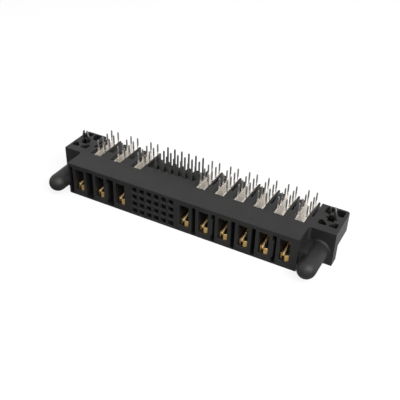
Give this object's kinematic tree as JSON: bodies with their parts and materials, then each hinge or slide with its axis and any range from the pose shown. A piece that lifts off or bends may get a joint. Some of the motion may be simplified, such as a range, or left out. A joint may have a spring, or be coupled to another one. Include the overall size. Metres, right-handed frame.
{
  "type": "right-angle power and signal board connector",
  "caption": "Right-angle board receptacle with blade power sockets and pin signal sockets, guide posts and board locks, shown with its solder tails up.",
  "frame": {"origin": "under the middle of the outer box, on the plane that the part lies on", "axes": "+Z towards the circuit board side and the solder tails, -Y towards the mating face, +X to the right as seen from the mating side with the tails up"},
  "size_m": [0.0918, 0.026, 0.015],
  "materials": {
    "housing": "matte moulded glass-filled plastic",
    "power_contact": "copper alloy, tin plated tails and gold plated beams",
    "signal_contact": "copper alloy, tin plated tails",
    "board_lock": "tin plated copper alloy"
  },
  "bodies": {
    "root": {"housing": "housing", "power_contact_1": "power_contact", "power_contact_2": "power_contact", "power_contact_3": "power_contact", "power_contact_4": "power_contact", "power_contact_5": "power_contact", "power_contact_6": "power_contact", "power_contact_7": "power_contact", "power_contact_8": "power_contact", "power_contact_9": "power_contact", "signal_contact_1_1": "signal_contact", "signal_contact_1_2": "signal_contact", "signal_contact_1_3": "signal_contact", "signal_contact_1_4": "signal_contact", "signal_contact_1_5": "signal_contact", "signal_contact_1_6": "signal_contact", "signal_contact_2_1": "signal_contact", "signal_contact_2_2": "signal_contact", "signal_contact_2_3": "signal_contact", "signal_contact_2_4": "signal_contact", "signal_contact_2_5": "signal_contact", "signal_contact_2_6": "signal_contact", "signal_contact_3_1": "signal_contact", "signal_contact_3_2": "signal_contact", "signal_contact_3_3": "signal_contact", "signal_contact_3_4": "signal_contact", "signal_contact_3_5": "signal_contact", "signal_contact_3_6": "signal_contact", "signal_contact_4_1": "signal_contact", "signal_contact_4_2": "signal_contact", "signal_contact_4_3": "signal_contact", "signal_contact_4_4": "signal_contact", "signal_contact_4_5": "signal_contact", "signal_contact_4_6": "signal_contact", "board_lock_left": "board_lock", "board_lock_right": "board_lock"}
  },
  "joints": []
}
